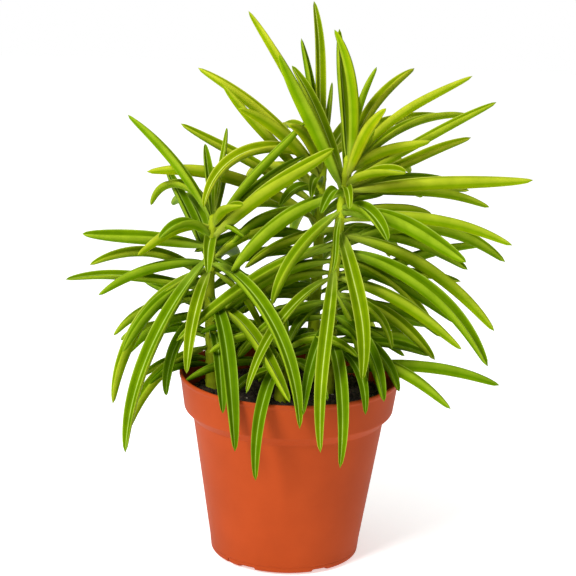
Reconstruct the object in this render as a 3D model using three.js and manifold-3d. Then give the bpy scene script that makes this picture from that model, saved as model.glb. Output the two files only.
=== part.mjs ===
// Potted peperomia: a four-stemmed plant with long folded leaves in a nursery pot.
// Millimetres, +Z up. Origin: centre of the pot's base, on the pot's axis.
import * as THREE from 'three';
import { mergeVertices } from 'three/addons/utils/BufferGeometryUtils.js';
import Module from 'manifold-3d';

const wasm = await Module();
wasm.setup();

const group = new THREE.Group();
group.name = 'potted_peperomia';
const rad = Math.PI / 180;

// ---- materials ----
const terracotta = new THREE.MeshStandardMaterial({ color: 0xbe4f27, roughness: 0.5 });
const earth = new THREE.MeshStandardMaterial({ color: 0x2a1d16, roughness: 1.0 });
const stemGreen = new THREE.MeshStandardMaterial({ color: 0x8fae3a, roughness: 0.5 });
const leafGreen = new THREE.MeshStandardMaterial({ color: 0x7fa818, roughness: 0.4 });

// ---- driving sizes ----
const rimRadius = 52.5;      // outside of the rim: a 10.5 cm nursery pot
const potHeight = 89.5;
const wall = 1.3;
const floorThickness = 3.4;
const baseRadius = 33.6;     // flat underside, inside the rounded corner
const soilTop = 78.0;
const gap = 0.3;             // kept between the soil and the pot
const notchCount = 6;
const notchHeight = 2.2;
const notchWidth = 8.8;
const notchTurn = 30;        // degrees from the front to the nearest notch
const slitTurn = -48;        // degrees from the front to the one narrow slit in the foot
const slitWidth = 1.8;
const slitHeight = 3.2;

// ---- manifold helpers ----
function toSolid(points, faces) {
  return new wasm.Manifold(new wasm.Mesh({
    numProp: 3,
    vertProperties: new Float32Array(points.flat()),
    triVerts: new Uint32Array(faces.flat()),
  }));
}

function addNode(name, solid, material) {
  const mesh = solid.getMesh();
  const geometry = new THREE.BufferGeometry();
  geometry.setAttribute('position', new THREE.BufferAttribute(new Float32Array(mesh.vertProperties), 3));
  geometry.setIndex(new THREE.BufferAttribute(new Uint32Array(mesh.triVerts), 1));
  geometry.computeVertexNormals();
  const node = new THREE.Mesh(geometry, material);
  node.name = name;
  group.add(node);
}

// A closed tube of rings: every ring has the same number of points, the ends are fans.
function tubeSolid(rings) {
  const n = rings[0].length;
  const points = rings.flat();
  const faces = [];
  for (let i = 0; i + 1 < rings.length; i++) {
    for (let j = 0; j < n; j++) {
      const a = i * n + j, b = i * n + (j + 1) % n;
      faces.push([a, b, b + n], [a, b + n, a + n]);
    }
  }
  const last = (rings.length - 1) * n;
  for (let j = 1; j + 1 < n; j++) {
    faces.push([0, j + 1, j], [last, last + j, last + j + 1]);
  }
  return toSolid(points, faces);
}

// A three.js geometry as a solid: shared corners merged, collapsed triangles dropped.
function solidOf(geometry) {
  const bare = new THREE.BufferGeometry();
  bare.setAttribute('position', geometry.getAttribute('position'));
  bare.setIndex(geometry.getIndex());
  const merged = mergeVertices(bare, 1e-4);
  const corners = Array.from(merged.getIndex().array);
  const faces = [];
  for (let i = 0; i < corners.length; i += 3) {
    const [a, b, c] = corners.slice(i, i + 3);
    if (a !== b && b !== c && c !== a) faces.push([a, b, c]);
  }
  const positions = Array.from(merged.getAttribute('position').array);
  return toSolid([positions], faces);
}

// A turned solid from [radius, z] pairs that start and end on the axis.
function turned(profile, sides) {
  const points = profile.map(([r, z]) => new THREE.Vector2(r, z));
  return solidOf(new THREE.LatheGeometry(points, sides).rotateX(Math.PI / 2));
}

// ---- pot ----
// Up the outside (rounded base corner, cone, slanted step, collar, rim), then down the inside.
const potProfile = [
  [0, 0], [baseRadius, 0], [baseRadius + 1.4, 0.6], [baseRadius + 1.6, 2.0], [36.0, 7],
  [45.5, 68], [49.8, 72.5], [51.9, 87.0], [rimRadius, 88.2], [rimRadius - 0.3, potHeight],
  [rimRadius - wall, potHeight], [52 - wall, 87], [49.8 - wall, 73.1], [45.5 - wall, 68.6],
  [36.0 - wall, 7], [34.3 - wall, floorThickness], [0, floorThickness],
];
let potSolid = turned(potProfile, 72);
for (let i = 0; i < notchCount; i++) {
  const turn = -90 + notchTurn + i * 360 / notchCount;
  const notch = new THREE.BoxGeometry(12, notchWidth, 2 * notchHeight)
    .translate(baseRadius, 0, 0).rotateZ(turn * rad);
  potSolid = potSolid.subtract(solidOf(notch));
}
const slit = new THREE.BoxGeometry(6, slitWidth, 2 * slitHeight)
  .translate(baseRadius + 1.4, 0, 0).rotateZ((slitTurn - 90) * rad);
potSolid = potSolid.subtract(solidOf(slit));
addNode('pot', potSolid, terracotta);

// ---- soil ----
// It fills the pot a hair inside its wall and domes a little in the middle.
const fill = wall + gap;
const soilProfile = [
  [0, floorThickness + gap], [34.3 - fill, floorThickness + gap], [36.0 - fill, 7 + gap],
  [45.5 - fill, 68.6 + gap], [49.8 - fill, 73.1 + gap], [50.2 - fill, soilTop - 0.6],
  [46, soilTop], [20, soilTop + 0.8], [0, soilTop + 0.8],
];
let soilSolid = turned(soilProfile, 48);

// ---- stems ----
// Each stem is a line of [x, y, z] knots from inside the soil up to its crown.
const stems = {
  A: [[-37, 11, 70], [-38, 10, 100], [-39.5, 9, 130], [-39, 8, 148], [-38, 7, 163]],
  B: [[18, 6, 70], [19, 5, 100], [19, 4, 132], [21, 3, 160], [24.5, 3, 194]],
  C: [[10, 24, 70], [11, 25, 105], [12, 25, 140], [12, 24, 170], [13, 24, 192]],
  D: [[-4, -9, 70], [-4, -10, 82], [-3, -11, 92], [-3, -12, 100], [-2, -12, 106]],
};
const stemFoot = 2.8;
const stemHead = 1.7;

function stemPoint(stem, z) {
  const knots = stems[stem];
  let i = 0;
  while (i < knots.length - 2 && z > knots[i + 1][2]) i++;
  const s = (z - knots[i][2]) / (knots[i + 1][2] - knots[i][2]);
  return [0, 1].map((k) => knots[i][k] + s * (knots[i + 1][k] - knots[i][k])).concat(z);
}

function stemRadius(stem, z) {
  const knots = stems[stem];
  const s = (z - knots[0][2]) / (knots[4][2] - knots[0][2]);
  return stemFoot + (stemHead - stemFoot) * s;
}

function stemSolid(stem, grow, sides = 8) {
  const top = stems[stem][4][2];
  const levels = stems[stem].map((k) => k[2]);
  const rings = levels.map((z) => [stemPoint(stem, z), stemRadius(stem, z) + grow]);
  rings.push([stemPoint(stem, top + 1.5 + grow), 0.6 + grow]);
  return tubeSolid(rings.map(([p, r]) => Array.from({ length: sides }, (_, j) => {
    const a = 2 * Math.PI * j / sides;
    return [p[0] + r * Math.cos(a), p[1] + r * Math.sin(a), p[2]];
  })));
}

// ---- leaves ----
// Row: stem, height on the stem, azimuth (0 right, -90 front), rise at the base, length,
// bend along the leaf, sideways sway of the tip, width. Millimetres and degrees.
const leaves = [
  ['A', 161, 165, 64, 64, 32, 0, 5.3],
  ['A', 159, 140, 78, 54, 150, 0, 4.8],
  ['A', 140, 130, 58, 54, 20, 0, 5.6],
  ['A', 158, -160, 14, 40, 66, 0, 5.3],
  ['A', 148, -175, 12, 60, 14, 0, 6.8],
  ['A', 132, 172, 42, 62, 79, 0, 5.2],
  ['A', 126, -172, 20, 68, 30, 0, 4.9],
  ['A', 137, -152, -12, 85, 80, 0, 6.5],
  ['A', 143, -127, -26, 106, 58, 0, 6.5],
  ['A', 98, -152, -4, 60, 76, 0, 5.9],
  ['A', 114, -128, 5, 52, 108, 0, 5.2],
  ['A', 140, -57, 8, 110, 88, 0, 6.5],
  ['A', 120, -60, 8, 85, 54, 0, 6.3],
  ['A', 123, -77, 6, 96, 90, 0, 6.6],
  ['A', 104, -82, 30, 70, 98, 0, 5.8],
  ['A', 153, -25, 50, 78, 22, 0, 7.8],
  ['A', 159, -4, 58, 66, 14, 0, 4.9],
  ['A', 142, -5, 48, 45, 36, 0, 5.4],
  ['B', 192, 120, 82, 61, 6, 0, 5.0],
  ['B', 188, -50, 74, 68, -56, 0, 5.0],
  ['B', 193, 40, 78, 58, 64, 0, 5.3],
  ['B', 191, -12, 58, 72, 38, 0, 5.3],
  ['B', 186, 32, 50, 77, 64, 0, 4.9],
  ['B', 182, -12, 36, 79, 8, 4, 5.0],
  ['B', 178, -14, 14, 88, 12, 0, 7.1],
  ['B', 177, 20, 8, 76, 32, 0, 5.9],
  ['B', 168, -42, 14, 76, 44, 0, 8.2],
  ['B', 164, -16, 18, 83, 42, 0, 6.5],
  ['B', 150, 4, 38, 87, 84, 0, 7.3],
  ['B', 128, 22, 30, 81, 33, 0, 5.9],
  ['B', 157, -14, -2, 88, 52, 0, 6.9],
  ['B', 149, -34, 6, 97, 64, 0, 7.6],
  ['B', 136, -16, -4, 70, 42, 0, 6.4],
  ['B', 112, 25, 18, 54, 48, 0, 6.4],
  ['B', 117, -58, 12, 60, 90, 0, 6.3],
  ['B', 88, -8, 22, 82, 44, 0, 6.6],
  ['B', 96, -30, 18, 68, 60, 0, 6.3],
  ['B', 98, -86, 40, 96, 130, 0, 5.9],
  ['B', 140, -94, -4, 104, 84, 0, 6.2],
  ['B', 159, -74, -22, 78, 64, 0, 7.2],
  ['B', 168, -140, -18, 58, 54, 0, 5.9],
  ['B', 153, -162, -14, 89, 32, 0, 5.8],
  ['B', 136, -124, 0, 83, 62, 0, 4.8],
  ['B', 177, -165, -10, 66, 50, 0, 7.4],
  ['B', 179, -172, 66, 70, 6, 0, 6.7],
  ['C', 188, 160, 74, 79, 28, 0, 5.4],
  ['C', 190, 124, 85, 73, 8, 0, 5.0],
  ['C', 182, 172, 52, 77, 28, 0, 6.0],
  ['C', 185, -158, 48, 76, 128, 0, 5.9],
  ['C', 166, 178, 36, 76, 14, 0, 5.4],
  ['C', 158, -174, 42, 88, 52, 0, 7.2],
  ['D', 94, -101, 32, 82, 128, 0, 5.7],
  ['C', 150, 100, 30, 84, 90, 0, 6.3],
];

// Leaves grown as one piece with their stem: the rear ones and the small low ones.
const joinedLeaves = [
  ['A', 148, 110, 45, 70, 80, 0, 6.0],
  ['A', 134, 80, 30, 74, 90, 0, 6.3],
  ['A', 116, 125, 20, 66, 80, 0, 5.8],
  ['A', 102, 155, 25, 52, 70, 0, 5.4],
  ['B', 174, 62, 35, 78, 70, 0, 6.3],
  ['C', 182, 70, 45, 76, 70, 0, 6.0],
  ['C', 170, 120, 30, 78, 70, 0, 6.3],
  ['C', 160, 45, 30, 76, 60, 0, 6.0],
  ['C', 136, 72, 22, 82, 90, 0, 6.5],
  ['C', 126, 130, 15, 76, 80, 0, 6.0],
  ['C', 114, 98, 25, 66, 90, 0, 5.8],
  ['C', 102, 55, 28, 60, 80, 0, 5.6],
];

// Share of the full width along the leaf: a narrow stalk, a long blade, a sharp tip.
const stations = [0, 0.08, 0.2, 0.38, 0.58, 0.78, 0.92, 1];
const widthShare = [0.4, 0.42, 0.77, 0.97, 0.99, 0.83, 0.54, 0.08];
// The folded section, as shares of its half width: raised margins, upper groove, lower keel.
const lip = 0.45;
const groove = 0.2;
const keel = 1.2;

function leafSolid([stem, height, azimuth, rise, length, bend, sway, width], start) {
  const root = stemPoint(stem, height);
  const away = [Math.cos(azimuth * rad), Math.sin(azimuth * rad)];
  const offset = stemRadius(stem, height) + start;
  const k = bend * rad, up = rise * rad;
  const rings = stations.map((t, i) => {
    const tilt = up - k * t;
    const reach = offset + length * (Math.sin(up) - Math.sin(tilt)) / k;
    const lift = length * (Math.cos(tilt) - Math.cos(up)) / k;
    const side = sway * t * t;
    const centre = [
      root[0] + reach * away[0] - side * away[1],
      root[1] + reach * away[1] + side * away[0],
      height + lift,
    ];
    const across = [away[1], -away[0], 0];
    const over = [-Math.sin(tilt) * away[0], -Math.sin(tilt) * away[1], Math.cos(tilt)];
    const half = 0.5 * width * widthShare[i];
    const section = [[half, lip * half], [0, -keel * half], [-half, lip * half], [0, -groove * half]];
    return section.map(([u, v]) => centre.map((c, n) => c + u * across[n] + v * over[n]));
  });
  return tubeSolid(rings);
}

const leafStart = 0.9;
for (const stem of Object.keys(stems)) {
  soilSolid = soilSolid.subtract(stemSolid(stem, gap));
  let solid = stemSolid(stem, 0);
  for (const row of joinedLeaves) {
    if (row[0] === stem) solid = solid.add(leafSolid(row, -1.2));
  }
  addNode(`stem_${stem}`, solid, stemGreen);
}
addNode('soil', soilSolid, earth);

const counts = { A: 0, B: 0, C: 0, D: 0 };
for (const row of leaves) {
  counts[row[0]] += 1;
  const number = String(counts[row[0]]).padStart(2, '0');
  addNode(`leaf_${row[0]}${number}`, leafSolid(row, leafStart), leafGreen);
}

export default group;
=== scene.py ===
# A peperomia with long folded leaves in a terracotta-coloured plastic nursery pot.
# Shapes are worked out in millimetres and placed in metres, +Z up; the origin is the
# centre of the pot's underside.
import math

import bpy
import numpy as np
from mathutils import Matrix, Vector


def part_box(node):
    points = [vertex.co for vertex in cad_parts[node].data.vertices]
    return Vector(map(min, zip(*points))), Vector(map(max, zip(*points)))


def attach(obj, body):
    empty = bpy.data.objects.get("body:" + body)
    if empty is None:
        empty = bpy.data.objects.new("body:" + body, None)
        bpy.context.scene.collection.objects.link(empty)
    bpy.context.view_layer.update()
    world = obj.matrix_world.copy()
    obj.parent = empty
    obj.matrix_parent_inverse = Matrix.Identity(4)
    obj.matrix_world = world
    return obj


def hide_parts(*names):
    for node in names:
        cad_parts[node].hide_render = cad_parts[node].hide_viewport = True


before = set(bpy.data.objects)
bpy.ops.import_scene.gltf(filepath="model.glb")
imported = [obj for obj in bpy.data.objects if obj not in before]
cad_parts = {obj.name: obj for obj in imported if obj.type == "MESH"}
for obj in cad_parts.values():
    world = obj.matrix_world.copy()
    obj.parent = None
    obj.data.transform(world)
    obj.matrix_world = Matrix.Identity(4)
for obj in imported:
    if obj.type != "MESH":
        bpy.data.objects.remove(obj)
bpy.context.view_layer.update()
MM = 0.001
rng = np.random.default_rng(11)


# ---- Pot: one thin injection-moulded cup, satin terracotta plastic ----
# A cone with a slanted step up to a wide collar, a rolled rim, and a shallow line
# round its foot, where six drainage notches and one narrow slit are cut.
POT_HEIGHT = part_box("pot")[1][2] / MM
RIM_RADIUS = 52.5
WALL = 1.3
FLOOR = 3.4
NOTCHES = 6
NOTCH_TURN = math.radians(-60)
NOTCH_HEIGHT = 2.2
NOTCH_HALF_ANGLE = math.radians(7.3)
NOTCH_INNER_RADIUS = 27.6
SLIT_TURN = math.radians(222)
SLIT_HEIGHT = 3.2
SLIT_HALF_ANGLE = math.radians(1.5)
SLIT_INNER_RADIUS = 32.0
CUT_EDGE = math.radians(1.2)   # a notch's side rises over this angle
SLIT_EDGE = math.radians(0.8)
POT_SIDES = 480
POT_STEP = 2.4


def rounded_profile(corners, steps=6):
    """Cuts each corner (r, z, radius) with a parabola from radius before it to radius after it."""
    points = [np.array(corners[0][:2], float)]
    for before, corner, after in zip(corners, corners[1:], corners[2:]):
        here = np.array(corner[:2], float)
        back = np.array(before[:2], float) - here
        ahead = np.array(after[:2], float) - here
        start = here + back / np.linalg.norm(back) * corner[2]
        end = here + ahead / np.linalg.norm(ahead) * corner[2]
        s = np.linspace(0, 1, steps)[:, None]
        points.extend((1 - s) ** 2 * start + 2 * s * (1 - s) * here + s ** 2 * end)
    points.append(np.array(corners[-1][:2], float))
    return np.array(points)


def subdivided(profile, longest):
    """Adds even points on each stretch of the profile that is longer than longest."""
    out = [profile[:1]]
    for a, b in zip(profile, profile[1:]):
        count = max(1, int(math.ceil(np.linalg.norm(b - a) / longest)))
        s = np.linspace(0, 1, count + 1)[1:, None]
        out.append(a + s * (b - a))
    return np.concatenate(out)


def mesh_object(name, points, faces):
    """A mesh of points in mm and faces, linked at the origin."""
    mesh = bpy.data.meshes.new(name)
    mesh.from_pydata((points.reshape(-1, 3) * MM).tolist(), [], faces)
    mesh.update()
    piece = bpy.data.objects.new(name, mesh)
    bpy.context.collection.objects.link(piece)
    return piece


def grid_object(name, points):
    """Smooth mesh of a grid of points (along, across, xyz), wrapped across, its two ends capped."""
    rows, columns = points.shape[:2]
    i, j = np.meshgrid(np.arange(rows - 1), np.arange(columns), indexing="ij")
    a = i * columns + j
    b = i * columns + (j + 1) % columns
    quads = np.stack([a, b, b + columns, a + columns], -1).reshape(-1, 4)
    corners = points.reshape(-1, 3)[quads]
    volume = np.einsum("ij,ij->i", np.cross(corners[:, 0], corners[:, 1]), corners[:, 2]).sum()
    volume += np.einsum("ij,ij->i", np.cross(corners[:, 0], corners[:, 2]), corners[:, 3]).sum()
    caps = [list(range(columns))[::-1], [(rows - 1) * columns + c for c in range(columns)]]
    faces = quads.tolist() + caps
    if volume < 0:
        faces = [face[::-1] for face in faces]
    piece = mesh_object(name, points, faces)
    piece.data.polygons.foreach_set("use_smooth", np.ones(len(faces), bool))
    return piece


def plain_material(name, colour, roughness):
    """A principled material with its colour and roughness, and its shader."""
    material = bpy.data.materials.new(name)
    material.use_nodes = True
    shader = material.node_tree.nodes["Principled BSDF"]
    shader.inputs["Base Color"].default_value = (*colour, 1)
    shader.inputs["Roughness"].default_value = roughness
    return material, shader


def noise(material, scale, detail=2):
    """Cloudy noise, fixed to the object, as a value from 0 to 1."""
    tree = material.node_tree
    place = tree.nodes.new("ShaderNodeTexCoord")
    cloud = tree.nodes.new("ShaderNodeTexNoise")
    cloud.inputs["Scale"].default_value = scale
    cloud.inputs["Detail"].default_value = detail
    tree.links.new(place.outputs["Object"], cloud.inputs["Vector"])
    return cloud.outputs["Fac"]


def ramp(material, source, stops):
    """Colours along a 0 to 1 value."""
    node = material.node_tree.nodes.new("ShaderNodeValToRGB")
    elements = node.color_ramp.elements
    while len(elements) < len(stops):
        elements.new(0.5)
    for element, (position, colour) in zip(elements, stops):
        element.position = position
        element.color = (*colour, 1)
    material.node_tree.links.new(source, node.inputs["Fac"])
    return node.outputs["Color"]


def pot_surface():
    """Turns the wall's closed profile about the axis; the foot's edge is lifted in each cut."""
    outside = [
        (0.4, 0, 0), (32.5, 0, 1.2), (35.4, 1.2, 1.0), (35.6, 3.4, 0.2), (35.45, 3.7, 0.15),
        (35.75, 4.1, 0.2), (36.0, 7, 0.6), (45.5, 68, 0.5),
        (49.8, 72.5, 0.7), (51.9, 87.0, 0.4), (RIM_RADIUS, 88.2, 0.4),
        (RIM_RADIUS - 0.1, POT_HEIGHT, 0.5), (RIM_RADIUS - WALL, POT_HEIGHT, 0.5),
    ]
    inside = [
        (51.9 - WALL, 87, 1.0), (49.8 - WALL, 73.1, 1.0), (45.5 - WALL, 68.6, 1.0),
        (36.0 - WALL, 7, 1.0), (34.3 - WALL, FLOOR, 0.8), (0.4, FLOOR, 0),
    ]
    profile = subdivided(rounded_profile(outside + inside), POT_STEP)
    angle = np.linspace(0, 2 * math.pi, POT_SIDES, endpoint=False)
    radius = profile[:, :1]
    height = np.repeat(profile[:, 1:], angle.size, axis=1)
    spacing = 2 * math.pi / NOTCHES
    off = np.abs((angle - NOTCH_TURN + spacing / 2) % spacing - spacing / 2)
    cut = np.clip((NOTCH_HALF_ANGLE - off) / CUT_EDGE + 0.5, 0, 1)
    reach = np.clip(radius - NOTCH_INNER_RADIUS, 0, 1)
    lift = NOTCH_HEIGHT * cut[None, :] * reach
    slit = np.clip((SLIT_HALF_ANGLE - np.abs(angle - SLIT_TURN)) / SLIT_EDGE + 0.5, 0, 1)
    lift = np.maximum(lift, SLIT_HEIGHT * slit[None, :] * np.clip(radius - SLIT_INNER_RADIUS, 0, 1))
    below = np.arange(len(profile))[:, None] < np.argmax(profile[:, 0])
    height = np.where(below & (height < lift), lift, height)
    return np.stack([radius * np.cos(angle), radius * np.sin(angle), height], -1)


pot = grid_object("pot_shell", pot_surface())
pot_plastic, shader = plain_material("terracotta plastic", (0.38, 0.05, 0.007), 0.55)
shader.inputs["Specular IOR Level"].default_value = 0.07
tint = ramp(pot_plastic, noise(pot_plastic, 38, 5), [
    (0.3, (0.36, 0.05, 0.008)), (0.7, (0.42, 0.06, 0.010)),
])
pot_plastic.node_tree.links.new(tint, shader.inputs["Base Color"])
dimple = pot_plastic.node_tree.nodes.new("ShaderNodeBump")
dimple.inputs["Strength"].default_value = 0.12
dimple.inputs["Distance"].default_value = 0.0002
pot_plastic.node_tree.links.new(noise(pot_plastic, 900), dimple.inputs["Height"])
pot_plastic.node_tree.links.new(dimple.outputs["Normal"], shader.inputs["Normal"])
pot.data.materials.append(pot_plastic)
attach(pot, "root")
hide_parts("pot")


# ---- Soil: dark moist peat that fills the pot to 11 mm below the rim ----
# A lumpy turned body, with loose crumbs and a few pale grit grains lying on it.
SOIL_TOP = 78.0
SOIL_RADIUS = 50.2 - WALL - 0.4
GAP = 0.3             # between the soil and the pot's floor
SOIL_SIDES = 200
CRUMBS, GRIT = 1500, 46


def lumps(x, y):
    """Sum of crossed sine waves of falling length: the uneven top of the soil, in mm."""
    height = np.zeros_like(x)
    for wave, tall in ((0.35, 0.8), (0.8, 0.45), (1.7, 0.25), (3.1, 0.15)):
        height += tall * np.sin(wave * x + 1.3 * tall) * np.cos(wave * 0.9 * y + 2.1 * wave)
    return height


def soil_surface():
    """A turned plug; its top rises by lumps(x, y), fading to nothing at the wall."""
    side = [(0.4, FLOOR + GAP), (32.6, FLOOR + GAP), (34.2, 7.3), (43.8, 68.8), (47.9, 73.4),
            (SOIL_RADIUS, SOIL_TOP - 1.6)]
    side = subdivided(np.array(side), 12)
    top = np.linspace(SOIL_RADIUS - 0.5, 0.3, 70)
    profile = np.concatenate([side, np.stack([top, np.full_like(top, SOIL_TOP)], -1)])
    angle = np.linspace(0, 2 * math.pi, SOIL_SIDES, endpoint=False)
    x = profile[:, :1] * np.cos(angle)
    y = profile[:, :1] * np.sin(angle)
    on_top = (np.arange(len(profile)) >= len(side))[:, None]
    fade = np.clip((SOIL_RADIUS - profile[:, :1]) / 4, 0, 1) * on_top
    z = profile[:, 1:] + fade * (lumps(x, y) - 0.3) - 0.8 * on_top * (1 - fade)
    return np.stack([x, y, z], -1)


soil = grid_object("soil_body", soil_surface())
peat, shader = plain_material("moist peat", (0.03, 0.018, 0.012), 0.95)
tint = ramp(peat, noise(peat, 420, 8), [
    (0.35, (0.010, 0.006, 0.004)), (0.75, (0.075, 0.045, 0.028)),
])
peat.node_tree.links.new(tint, shader.inputs["Base Color"])
soil.data.materials.append(peat)
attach(soil, "root")
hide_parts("soil")


def grains_object(name, count, smallest, largest, sink):
    """Rough lumps strewn evenly over the soil: octahedra with each corner pushed in or out."""
    corners = np.array([(1, 0, 0), (0, 1, 0), (-1, 0, 0), (0, -1, 0), (0, 0, 1), (0, 0, -1)], float)
    facets = np.array([(0, 1, 4), (1, 2, 4), (2, 3, 4), (3, 0, 4),
                       (1, 0, 5), (2, 1, 5), (3, 2, 5), (0, 3, 5)])
    size = rng.uniform(smallest, largest, (count, 1, 1))
    shape = corners[None] * rng.uniform(0.55, 1.2, (count, 6, 1)) * size
    turn = rng.uniform(0, 2 * math.pi, count)
    c, s = np.cos(turn)[:, None], np.sin(turn)[:, None]
    x = c * shape[..., 0] - s * shape[..., 1]
    y = s * shape[..., 0] + c * shape[..., 1]
    far = np.sqrt(rng.uniform(0, 1, count)) * (SOIL_RADIUS - 1.6)
    around = rng.uniform(0, 2 * math.pi, count)
    px, py = far * np.cos(around), far * np.sin(around)
    pz = SOIL_TOP - 0.3 + lumps(px, py) * np.clip((SOIL_RADIUS - far) / 4, 0, 1) - sink
    points = np.stack([x + px[:, None], y + py[:, None], shape[..., 2] + pz[:, None]], -1)
    faces = facets[None] + 6 * np.arange(count)[:, None, None]
    return mesh_object(name, points, faces.reshape(-1, 3).tolist())


crumbs = grains_object("soil_crumbs", CRUMBS, 0.5, 1.7, 0.1)
crumbs.data.materials.append(peat)
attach(crumbs, "root")
grit = grains_object("soil_grit", GRIT, 0.35, 0.8, -0.3)
grit.data.materials.append(plain_material("pale grit", (0.42, 0.36, 0.28), 0.8)[0])
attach(grit, "root")


# ---- Stems: four fleshy green stems that stand in the soil ----
# Round, slightly tapered, with a faint ring at each leaf joint; they carry the leaves.
STEMS = {
    "A": [[-37, 11, 70], [-38, 10, 100], [-39.5, 9, 130], [-39, 8, 148], [-38, 7, 163]],
    "B": [[18, 6, 70], [19, 5, 100], [19, 4, 132], [21, 3, 160], [24.5, 3, 194]],
    "C": [[10, 24, 70], [11, 25, 105], [12, 25, 140], [12, 24, 170], [13, 24, 192]],
    "D": [[-4, -9, 70], [-4, -10, 82], [-3, -11, 92], [-3, -12, 100], [-2, -12, 106]],
}
STEM_FOOT, STEM_HEAD = 2.8, 1.7
SKIN = 0.4            # how much thicker the shoot is than its plain taper
JOINT_SPACING = 7.0
JOINT_SWELL, JOINT_LENGTH = 0.22, 0.9
STEM_SIDES = 24


def stem_centre(stem, z):
    """Where the stem's line is at height z: straight between its knots."""
    knots = np.array(STEMS[stem], float)
    return np.stack([np.interp(z, knots[:, 2], knots[:, 0]), np.interp(z, knots[:, 2], knots[:, 1]),
                     np.asarray(z, float)], -1)


def stem_radius(stem, z):
    """Tapers evenly from foot to head."""
    low, high = STEMS[stem][0][2], STEMS[stem][-1][2]
    return STEM_FOOT + (STEM_HEAD - STEM_FOOT) * (z - low) / (high - low)


def stem_surface(stem):
    """Circles along the stem's line; the radius swells a little at each leaf joint."""
    z = np.arange(STEMS[stem][0][2] + 0.5, STEMS[stem][-1][2] + 0.1, 0.8)
    swell = JOINT_SWELL * np.exp(-((z % JOINT_SPACING - JOINT_SPACING / 2) / JOINT_LENGTH) ** 2)
    radius = stem_radius(stem, z) + SKIN + swell
    dome = np.array([0.8, 0.45, 0.1])
    z = np.concatenate([z, z[-1] + np.array([0.7, 1.2, 1.4])])
    radius = np.concatenate([radius, radius[-1] * dome])
    angle = np.linspace(0, 2 * math.pi, STEM_SIDES, endpoint=False)
    centre = stem_centre(stem, z)[:, None, :]
    ring = np.stack([np.cos(angle), np.sin(angle), 0 * angle], -1)
    return centre + radius[:, None, None] * ring[None]


stem_skin, shader = plain_material("stem skin", (0.38, 0.48, 0.02), 0.5)
shader.inputs["Specular IOR Level"].default_value = 0.02
shader.inputs["Subsurface Weight"].default_value = 0.15
shader.inputs["Subsurface Radius"].default_value = (0.8, 1.0, 0.2)
shader.inputs["Subsurface Scale"].default_value = 0.002
tint = ramp(stem_skin, noise(stem_skin, 130), [
    (0.3, (0.30, 0.40, 0.008)), (0.7, (0.46, 0.55, 0.02)),
])
stem_skin.node_tree.links.new(tint, shader.inputs["Base Color"])
for stem in STEMS:
    piece = grid_object(f"stem_shoot_{stem}", stem_surface(stem))
    piece.data.materials.append(stem_skin)
    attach(piece, "root")
    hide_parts(f"stem_{stem}")


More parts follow.
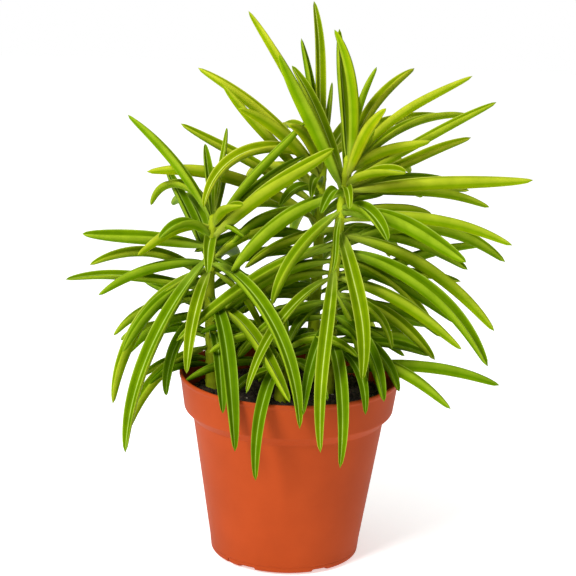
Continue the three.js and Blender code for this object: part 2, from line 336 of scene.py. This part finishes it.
# ---- Leaves: long fleshy blades folded like a pod, each on a short pale stalk ----
# A pale line runs along the groove on top: partly the leaf's own clear window, partly a
# painted highlight. The margins are pale, and a keel runs beneath. Each row: stem,
# height on the stem, azimuth (0 right, -90 front), rise at the base, length, bend along
# the leaf, sideways sway, width; mm and degrees.
LEAVES = [
    ["A", 161, 165, 64, 64, 32, 0, 5.3], ["A", 159, 140, 78, 54, 150, 0, 4.8],
    ["A", 140, 130, 58, 54, 20, 0, 5.6], ["A", 158, -160, 14, 40, 66, 0, 5.3],
    ["A", 148, -175, 12, 60, 14, 0, 6.8], ["A", 132, 172, 42, 62, 79, 0, 5.2],
    ["A", 126, -172, 20, 68, 30, 0, 4.9], ["A", 137, -152, -12, 85, 80, 0, 6.5],
    ["A", 143, -127, -26, 106, 58, 0, 6.5], ["A", 98, -152, -4, 60, 76, 0, 5.9],
    ["A", 114, -128, 5, 52, 108, 0, 5.2], ["A", 140, -57, 8, 110, 88, 0, 6.5],
    ["A", 120, -60, 8, 85, 54, 0, 6.3], ["A", 123, -77, 6, 96, 90, 0, 6.6],
    ["A", 104, -82, 30, 70, 98, 0, 5.8], ["A", 153, -25, 50, 78, 22, 0, 7.8],
    ["A", 159, -4, 58, 66, 14, 0, 4.9], ["A", 142, -5, 48, 45, 36, 0, 5.4],
    ["B", 192, 120, 82, 61, 6, 0, 5.0], ["B", 188, -50, 74, 68, -56, 0, 5.0],
    ["B", 193, 40, 78, 58, 64, 0, 5.3], ["B", 191, -12, 58, 72, 38, 0, 5.3],
    ["B", 186, 32, 50, 77, 64, 0, 4.9], ["B", 182, -12, 36, 79, 8, 4, 5.0],
    ["B", 178, -14, 14, 88, 12, 0, 7.1], ["B", 177, 20, 8, 76, 32, 0, 5.9],
    ["B", 168, -42, 14, 76, 44, 0, 8.2], ["B", 164, -16, 18, 83, 42, 0, 6.5],
    ["B", 150, 4, 38, 87, 84, 0, 7.3], ["B", 128, 22, 30, 81, 33, 0, 5.9],
    ["B", 157, -14, -2, 88, 52, 0, 6.9], ["B", 149, -34, 6, 97, 64, 0, 7.6],
    ["B", 136, -16, -4, 70, 42, 0, 6.4], ["B", 112, 25, 18, 54, 48, 0, 6.4],
    ["B", 117, -58, 12, 60, 90, 0, 6.3], ["B", 88, -8, 22, 82, 44, 0, 6.6],
    ["B", 96, -30, 18, 68, 60, 0, 6.3], ["B", 98, -86, 40, 96, 130, 0, 5.9],
    ["B", 140, -94, -4, 104, 84, 0, 6.2], ["B", 159, -74, -22, 78, 64, 0, 7.2],
    ["B", 168, -140, -18, 58, 54, 0, 5.9], ["B", 153, -162, -14, 89, 32, 0, 5.8],
    ["B", 136, -124, 0, 83, 62, 0, 4.8], ["B", 177, -165, -10, 66, 50, 0, 7.4],
    ["B", 179, -172, 66, 70, 6, 0, 6.7], ["C", 188, 160, 74, 79, 28, 0, 5.4],
    ["C", 190, 124, 85, 73, 8, 0, 5.0], ["C", 182, 172, 52, 77, 28, 0, 6.0],
    ["C", 185, -158, 48, 76, 128, 0, 5.9], ["C", 166, 178, 36, 76, 14, 0, 5.4],
    ["C", 158, -174, 42, 88, 52, 0, 7.2], ["D", 94, -101, 32, 82, 128, 0, 5.7],
    ["C", 150, 100, 30, 84, 90, 0, 6.3],
]

# The rear leaves and small low ones that belong to their stem's own solid.
JOINED_LEAVES = [
    ["A", 148, 110, 45, 70, 80, 0, 6.0], ["A", 134, 80, 30, 74, 90, 0, 6.3],
    ["A", 116, 125, 20, 66, 80, 0, 5.8], ["A", 102, 155, 25, 52, 70, 0, 5.4],
    ["B", 174, 62, 35, 78, 70, 0, 6.3], ["C", 182, 70, 45, 76, 70, 0, 6.0],
    ["C", 170, 120, 30, 78, 70, 0, 6.3], ["C", 160, 45, 30, 76, 60, 0, 6.0],
    ["C", 136, 72, 22, 82, 90, 0, 6.5], ["C", 126, 130, 15, 76, 80, 0, 6.0],
    ["C", 114, 98, 25, 66, 90, 0, 5.8], ["C", 102, 55, 28, 60, 80, 0, 5.6],
]

# Young leaves, inner leaves and the rest of the rear, which thicken the crown.
MORE_LEAVES = [
    ["A", 165, 60, 80, 40, 6, 0, 2.8], ["A", 161, 120, 85, 36, 20, 0, 4.4],
    ["A", 152, -140, 65, 36, 115, 0, 5.6], ["A", 155, -30, 55, 20, 110, 0, 3.0],
    ["A", 143, -10, -20, 54, 54, 0, 4.3], ["A", 136, 0, -25, 43, 55, 0, 3.8],
    ["A", 156, 10, 55, 56, 30, 0, 4.2], ["A", 128, 170, -20, 41, 54, 0, 3.8],
    ["A", 116, 150, 18, 38, 10, 0, 4.3], ["A", 92, -170, 15, 34, 60, 0, 4.3],
    ["A", 89, -143, 24, 36, 62, 0, 4.3], ["A", 146, 95, 38, 66, 80, 0, 5.2],
    ["A", 126, 60, 20, 64, 80, 0, 5.2], ["A", 158, 80, 60, 54, 60, 0, 4.8],
    ["A", 110, 20, 10, 44, 60, 0, 4.6], ["A", 120, 100, 25, 60, 70, 0, 5.0],
    ["B", 188, -10, 95, 51, 35, 0, 4.2], ["B", 184, 100, 84, 36, 14, 0, 4.2],
    ["B", 187, -20, 48, 44, 46, 0, 6.1], ["B", 179, 8, 27, 63, 8, 0, 5.2],
    ["B", 181, -50, 40, 43, 44, 0, 5.6], ["B", 172, 0, 30, 19, 30, 0, 3.3],
    ["B", 187, -20, 66, 25, 10, 0, 2.6], ["B", 175, -85, 60, 31, 120, 0, 4.3],
    ["B", 166, 12, 22, 44, 44, 0, 5.2], ["B", 146, 0, -12, 58, 46, 0, 4.7],
    ["B", 126, -30, 20, 43, 104, 0, 4.2], ["B", 130, -40, -38, 52, 55, 0, 5.9],
    ["B", 105, 0, 5, 47, 27, 0, 4.6], ["B", 112, 10, 0, 40, 50, 0, 4.7],
    ["B", 97, -72, 42, 62, 112, 0, 5.2], ["B", 112, -101, 16, 73, 74, 0, 5.2],
    ["B", 160, 175, -8, 49, 38, 0, 5.2], ["B", 166, -100, -30, 31, 40, 0, 2.8],
    ["B", 138, 15, 4, 63, 20, 0, 4.7], ["B", 132, 40, 15, 35, 30, 0, 4.3],
    ["B", 168, 85, 30, 70, 80, 0, 5.4], ["B", 150, 65, 24, 74, 80, 0, 5.4],
    ["B", 134, 50, 20, 70, 70, 0, 5.2], ["B", 118, 70, 15, 60, 80, 0, 5.0],
    ["C", 188, 140, 80, 58, 10, 0, 4.2], ["C", 189, 60, 84, 36, 4, 0, 2.6],
    ["C", 172, -176, 50, 69, 5, 0, 5.7], ["C", 175, -100, 60, 31, 120, 0, 4.6],
    ["C", 170, -130, 58, 34, 118, 0, 4.6], ["C", 186, 20, 50, 66, 60, 0, 5.0],
    ["C", 180, 110, 50, 70, 80, 0, 5.2], ["C", 158, 150, 28, 72, 80, 0, 5.4],
    ["C", 146, 50, 25, 74, 80, 0, 5.4], ["C", 132, 90, 20, 70, 90, 0, 5.4],
    ["C", 118, 150, 15, 62, 80, 0, 5.0], ["C", 122, 30, 18, 60, 70, 0, 5.0],
    ["C", 108, 120, 20, 56, 80, 0, 4.8], ["C", 110, 20, 18, 54, 70, 0, 4.8],
    ["C", 126, -170, 10, 60, 70, 0, 5.0], ["C", 112, -150, 20, 52, 80, 0, 5.0],
    ["D", 104, -150, 50, 44, 90, 0, 4.6], ["D", 103, 160, 45, 46, 80, 0, 4.6],
    ["D", 104, -30, 50, 42, 90, 0, 4.6], ["D", 104, 60, 55, 44, 70, 0, 4.6],
    ["D", 100, 110, 30, 48, 70, 0, 4.8], ["D", 98, -60, 30, 44, 80, 0, 4.8],
    ["D", 100, 20, 30, 48, 80, 0, 4.8], ["D", 96, -175, 20, 48, 60, 0, 4.8],
    ["D", 94, -130, 25, 42, 80, 0, 4.6], ["D", 105, -95, 75, 28, 60, 0, 3.6],
    ["C", 150, -165, 20, 62, 50, 0, 6.2], ["C", 142, 175, 12, 64, 60, 0, 6.0],
    ["C", 134, -155, 8, 60, 60, 0, 5.8], ["C", 164, -150, 15, 50, 60, 0, 6.0],
    ["B", 150, 178, -5, 60, 50, 0, 6.2], ["B", 144, -170, 0, 58, 50, 0, 6.0],
    ["B", 138, 165, 0, 52, 60, 0, 5.8], ["B", 124, -160, 0, 56, 60, 0, 5.8],
    ["B", 116, 180, 5, 50, 60, 0, 5.4], ["B", 108, -145, 10, 46, 70, 0, 5.4],
    ["C", 124, 165, 5, 56, 70, 0, 5.6], ["C", 116, -130, 10, 44, 70, 0, 5.4],
    ["C", 104, -110, 20, 40, 70, 0, 5.2], ["C", 98, 175, 20, 44, 70, 0, 5.2],
    ["B", 172, 30, 20, 72, 40, 0, 6.0], ["B", 156, 20, 8, 72, 50, 0, 6.4],
    ["B", 148, -20, 5, 66, 50, 0, 6.0], ["B", 142, 5, -6, 66, 40, 0, 6.6],
    ["B", 128, 0, -8, 60, 50, 0, 6.0], ["B", 122, 12, 12, 58, 60, 0, 5.6],
    ["B", 112, -40, 5, 50, 70, 0, 5.6], ["B", 102, 30, 20, 60, 60, 0, 5.4],
    ["C", 168, 10, 30, 74, 50, 0, 5.8], ["C", 152, 0, 15, 70, 50, 0, 6.0],
    ["C", 138, 5, 8, 66, 60, 0, 5.8], ["C", 100, 10, 20, 60, 60, 0, 5.4],
    ["B", 184, -60, 66, 50, 30, 0, 5.2], ["B", 176, -110, 40, 34, 90, 0, 5.0],
    ["B", 182, 150, 70, 60, 20, 0, 5.4], ["B", 170, -60, 30, 44, 80, 0, 6.2],
    ["C", 182, -120, 66, 44, 50, 0, 5.2], ["C", 178, -150, 60, 60, 40, 0, 5.8],
    ["A", 140, -165, 10, 56, 50, 0, 5.6],
    ["A", 132, -140, 5, 60, 70, 0, 5.8], ["A", 122, 175, 5, 52, 60, 0, 5.2],
    ["A", 114, -170, 8, 46, 70, 0, 5.2], ["A", 106, 170, 15, 48, 70, 0, 5.2],
    ["A", 136, -100, -5, 62, 70, 0, 5.8], ["A", 150, -90, 40, 40, 100, 0, 5.6],
    ["A", 112, -40, 10, 50, 60, 0, 5.4], ["A", 102, 30, 20, 44, 60, 0, 5.2],
    ["A", 158, -60, 60, 34, 60, 0, 5.0],
]
LIP, GROOVE, KEEL = 0.45, 0.2, 1.2   # of the half width: margin rise, groove depth, keel depth
STALK_SHARE = 0.42
SUNK = 0.8            # how far inside the stem's plain taper a leaf starts
ALONG, AROUND = 34, 24
WAVER = (32, 1.6, 1.0)   # largest twist in degrees, and largest side and upward waves in mm


def width_share(t):
    """Stalk that thins as (1-t)^3, joined to a blade s^0.45 (1-s)^0.5 scaled to reach 1;
    0.02 keeps the tip from closing to a point."""
    s = np.clip((t - 0.05) / 0.95, 0, 1)
    blade = s ** 0.45 * (1 - s) ** 0.5 / 0.518
    return np.sqrt(blade ** 2 + (STALK_SHARE * (1 - t) ** 3) ** 2) + 0.02


def leaf_surface(row, twist, sideways, upward):
    """Midrib: an arc whose slope falls evenly from rise to rise - bend, plus small sine waves to the
    side and upward that grow from the base. Section: a folded boat whose floor is -GROOVE in the
    middle of the top, +LIP at the margins and -KEEL at the keel."""
    stem, height, azimuth, rise, length, bend, sway, width = row
    t = np.linspace(0, 1, ALONG) ** 0.9
    up, turn, out = math.radians(rise), math.radians(bend), math.radians(azimuth)
    tilt = up - turn * t
    reach = float(stem_radius(stem, height)) - SUNK + length * (math.sin(up) - np.sin(tilt)) / turn
    lift = length * (np.cos(tilt) - math.cos(up)) / turn
    side = sway * t * t + sideways * t * np.sin(5.2 * t + 1.1)
    lift = lift + upward * t * np.sin(6.5 * t)
    root = stem_centre(stem, height)
    away = np.array([math.cos(out), math.sin(out), 0])
    across = np.array([math.sin(out), -math.cos(out), 0])
    centre = root + reach[:, None] * away - side[:, None] * across + lift[:, None] * np.array([0, 0, 1])
    over = -np.sin(tilt)[:, None] * away + np.cos(tilt)[:, None] * np.array([0, 0, 1])
    angle = np.linspace(0, 2 * math.pi, AROUND, endpoint=False)
    wide, tall = np.cos(angle), np.sin(angle)
    top = LIP * np.abs(wide) ** 1.6 - GROOVE * (1 - np.abs(wide)) ** 1.2
    under = LIP * np.abs(wide) ** 3 - KEEL * np.abs(tall) ** 0.95
    rise_of = np.where(tall > 0, top, under)
    half = 0.5 * width * width_share(t)[:, None]
    roll = math.radians(twist) * t[:, None]
    u = half * (wide * np.cos(roll) - rise_of * np.sin(roll))
    v = half * (wide * np.sin(roll) + rise_of * np.cos(roll))
    points = centre[:, None, :] + u[..., None] * across + v[..., None] * over[:, None, :]
    marks = {
        "across": np.broadcast_to(np.abs(wide), points.shape[:2]),
        "upper": np.broadcast_to((tall > 0.02).astype(float), points.shape[:2]),
        "along": np.broadcast_to(t[:, None], points.shape[:2]),
    }
    return points, marks


leaf_skin, shader = plain_material("leaf skin", (0.25, 0.42, 0.02), 0.4)
shader.inputs["Specular IOR Level"].default_value = 0.01
shader.inputs["Specular Tint"].default_value = (0.8, 1.0, 0.4, 1)
shader.inputs["Subsurface Weight"].default_value = 0.08
shader.inputs["Subsurface Radius"].default_value = (0.9, 1.0, 0.1)
shader.inputs["Subsurface Scale"].default_value = 0.002


def mark(name):
    """Reads one of the leaf's own attributes."""
    node = leaf_skin.node_tree.nodes.new("ShaderNodeAttribute")
    node.attribute_name = name
    return node.outputs["Fac"]


def colour_mix(way, factor, first, second):
    """Combines two colours; each of the last three is a socket or a fixed value."""
    node = leaf_skin.node_tree.nodes.new("ShaderNodeMix")
    node.data_type = "RGBA"
    node.blend_type = way
    colour_inputs = [socket for socket in node.inputs if socket.type == "RGBA"]
    for socket, source in zip([node.inputs[0], *colour_inputs], (factor, first, second)):
        if isinstance(source, bpy.types.NodeSocket):
            leaf_skin.node_tree.links.new(source, socket)
        else:
            socket.default_value = source
    return next(socket for socket in node.outputs if socket.type == "RGBA")


# Across the top, the pale stops at 0 and 0.05 (the groove's middle) are partly the leaf's clear window
# and partly a painted highlight.
top_colour = ramp(leaf_skin, mark("across"), [
    (0.0, (0.52, 0.58, 0.22)), (0.05, (0.38, 0.46, 0.09)), (0.11, (0.17, 0.25, 0.001)),
    (0.5, (0.115, 0.19, 0.0005)), (0.84, (0.18, 0.26, 0.001)), (0.97, (0.42, 0.48, 0.09)),
])
under_colour = ramp(leaf_skin, mark("across"), [
    (0.0, (0.38, 0.43, 0.015)), (0.25, (0.25, 0.34, 0.002)), (0.75, (0.15, 0.25, 0.0008)),
    (0.95, (0.31, 0.38, 0.02)),
])
stalk = ramp(leaf_skin, mark("along"), [(0.0, (1, 1, 1)), (0.1, (0.5, 0.5, 0.5)), (0.24, (0, 0, 0))])
shade = ramp(leaf_skin, mark("tone"), [
    (0.0, (0.33, 0.56, 0.15)), (0.5, (0.85, 1.0, 0.7)), (1.0, (1.34, 1.22, 1.1)),
])
patches = ramp(leaf_skin, noise(leaf_skin, 110, 4), [(0.35, (0.84, 0.88, 0.7)), (0.65, (1.1, 1.08, 1.1))])
colour = colour_mix("MIX", mark("upper"), under_colour, top_colour)
colour = colour_mix("MIX", stalk, colour, (0.38, 0.46, 0.06, 1))
colour = colour_mix("MULTIPLY", 1.0, colour, shade)
colour = colour_mix("MULTIPLY", 1.0, colour, patches)
leaf_skin.node_tree.links.new(colour, shader.inputs["Base Color"])


def grow_leaf(name, row, tone):
    """One leaf blade with its marks and skin, riding on the plant."""
    points, marks = leaf_surface(row, *rng.uniform(np.negative(WAVER), WAVER))
    piece = grid_object(name, points)
    marks["tone"] = np.full(points.shape[:2], np.clip(tone, 0, 1))
    for label, values in marks.items():
        layer = piece.data.attributes.new(label, "FLOAT", "POINT")
        layer.data.foreach_set("value", np.ascontiguousarray(values, dtype=np.float32).ravel())
    piece.data.materials.append(leaf_skin)
    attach(piece, "root")
    return piece


def leaf_tone(row):
    """Higher leaves are lighter; each leaf also varies a little by itself."""
    return 0.25 + 0.55 * (row[1] - 88) / 100 + rng.uniform(-0.26, 0.34)


counts = dict.fromkeys(STEMS, 0)
for row in LEAVES:
    counts[row[0]] += 1
    tag = f"{row[0]}{counts[row[0]]:02d}"
    blade = grow_leaf(f"blade_{tag}", row, leaf_tone(row))
    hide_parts(f"leaf_{tag}")
for number, row in enumerate(JOINED_LEAVES, 1):
    grow_leaf(f"rear_blade_{row[0]}{number:02d}", row, leaf_tone(row))
for number, row in enumerate(MORE_LEAVES, 1):
    grow_leaf(f"inner_blade_{row[0]}{number:02d}", row, leaf_tone(row) - 0.1)


# ---- Studio: a white floor, a soft key light from the upper left, a top light, weak fill ----
# The camera is long, a little above the plant, and leans a touch to its right.
def area_light(name, place, aim, size, power):
    """A square lamp at place that faces aim."""
    data = bpy.data.lights.new(name, "AREA")
    data.size = size
    data.energy = power
    lamp = bpy.data.objects.new(name, data)
    lamp.location = place
    lamp.rotation_euler = (Vector(aim) - Vector(place)).to_track_quat("-Z", "Y").to_euler()
    bpy.context.collection.objects.link(lamp)


area_light("key light", (-0.75, -1.0, 1.15), (0, 0, 0.13), 0.5, 25)
area_light("fill light", (1.2, -0.8, 0.5), (0, 0, 0.13), 1.0, 0.5)
area_light("top light", (0.1, 0.1, 1.5), (0, 0, 0.15), 0.9, 6)
world = bpy.data.worlds.new("studio air")
bpy.context.scene.world = world
world.use_nodes = True
air_nodes, air_links = world.node_tree.nodes, world.node_tree.links
sky = air_nodes["Background"]
sky.inputs["Color"].default_value = (1, 1, 1, 1)
sky.inputs["Strength"].default_value = 0.30
white_wall = air_nodes.new("ShaderNodeBackground")
white_wall.inputs["Color"].default_value = (1, 1, 1, 1)
seen = air_nodes.new("ShaderNodeLightPath")
either = air_nodes.new("ShaderNodeMixShader")
air_links.new(seen.outputs["Is Camera Ray"], either.inputs["Fac"])
air_links.new(sky.outputs["Background"], either.inputs[1])
air_links.new(white_wall.outputs["Background"], either.inputs[2])
air_links.new(either.outputs["Shader"], air_nodes["World Output"].inputs["Surface"])
bpy.ops.mesh.primitive_plane_add(size=3, location=(0, 0, -0.0002))
floor = bpy.context.object
floor.name = "floor"
paper, shader = plain_material("white paper", (0.93, 0.93, 0.93), 0.9)
shader.inputs["Emission Color"].default_value = (1, 1, 1, 1)
shader.inputs["Emission Strength"].default_value = 0.56
floor.data.materials.append(paper)
bpy.context.scene.view_settings.view_transform = "Standard"

AIM = Vector((-2, 0, 130.8)) * MM
DISTANCE = 1.0
ELEVATION = math.radians(15)
LEAN = math.radians(1.8)
back = Vector((0, -math.cos(ELEVATION), math.sin(ELEVATION)))
right = Vector((1, 0, 0))
above = back.cross(right)
leaning_right = math.cos(LEAN) * right + math.sin(LEAN) * above
leaning_up = math.cos(LEAN) * above - math.sin(LEAN) * right
camera_data = bpy.data.cameras.new("camera")
camera_data.lens = 132.5
camera_data.sensor_width = 36
camera = bpy.data.objects.new("camera", camera_data)
turn = Matrix((leaning_right, leaning_up, back)).transposed().to_4x4()
camera.matrix_world = Matrix.Translation(AIM + back * DISTANCE) @ turn
bpy.context.collection.objects.link(camera)
bpy.context.scene.camera = camera
